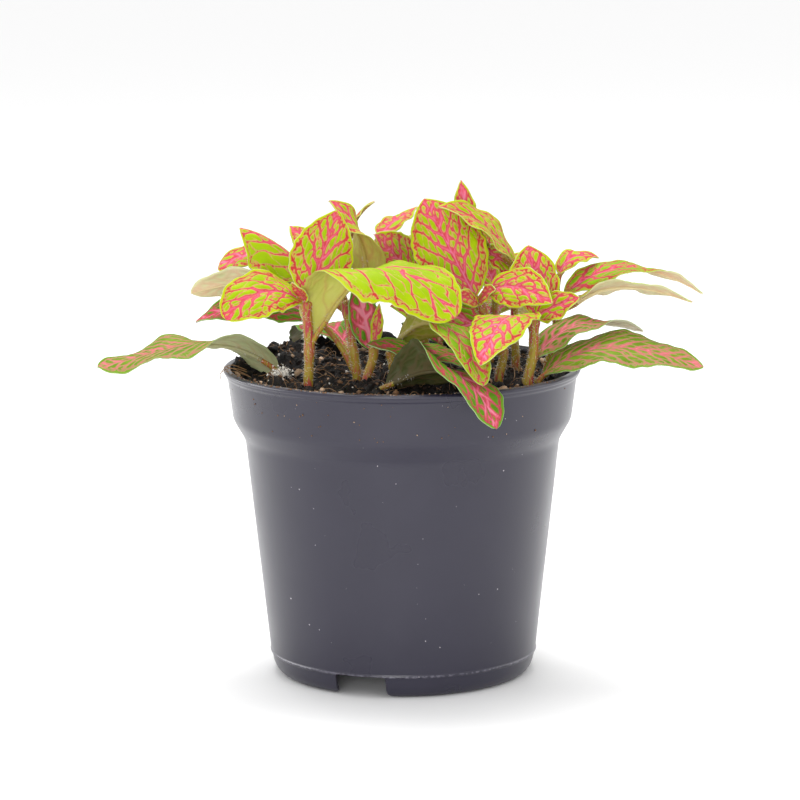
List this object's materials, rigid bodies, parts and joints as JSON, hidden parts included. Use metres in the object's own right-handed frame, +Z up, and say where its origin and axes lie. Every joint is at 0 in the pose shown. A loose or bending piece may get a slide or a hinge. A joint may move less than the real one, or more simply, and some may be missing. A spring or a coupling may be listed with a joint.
{
  "type": "potted plant",
  "caption": "Low potted foliage plant: broad waved net-veined leaves on short fleshy stems in a round tapered nursery pot filled with soil.",
  "frame": {"origin": "on the pot's axis, in the plane of the foot ring that the pot stands on", "axes": "+Z up along the pot's axis; -Y is the front, where a leaf hangs over the rim; the longest leaves reach out along -X and +X"},
  "size_m": [0.2034, 0.136, 0.166],
  "materials": {
    "pot": "satin dark grey polypropylene with fine scratches and dust",
    "soil": "loose dark peat with pumice and perlite grains",
    "young_leaf": "soft lime-yellow leaf with a pink net of veins",
    "old_leaf": "soft green leaf with wide pink veins"
  },
  "bodies": {
    "root": {"leaf_back": "old_leaf", "leaf_back_corner": "old_leaf", "leaf_back_left": "old_leaf", "leaf_front": "old_leaf", "leaf_left": "old_leaf", "leaf_right_lower": "old_leaf", "leaf_right_upper": "old_leaf", "pot": "pot", "soil": "soil", "stem_back": "young_leaf", "stem_back_right": "young_leaf", "stem_front": "young_leaf", "stem_front_left": "young_leaf", "stem_front_right": "young_leaf", "stem_left": "young_leaf", "stem_middle": "young_leaf", "stem_middle_left": "young_leaf", "stem_right": "young_leaf", "stem_top": "young_leaf"}
  },
  "joints": []
}
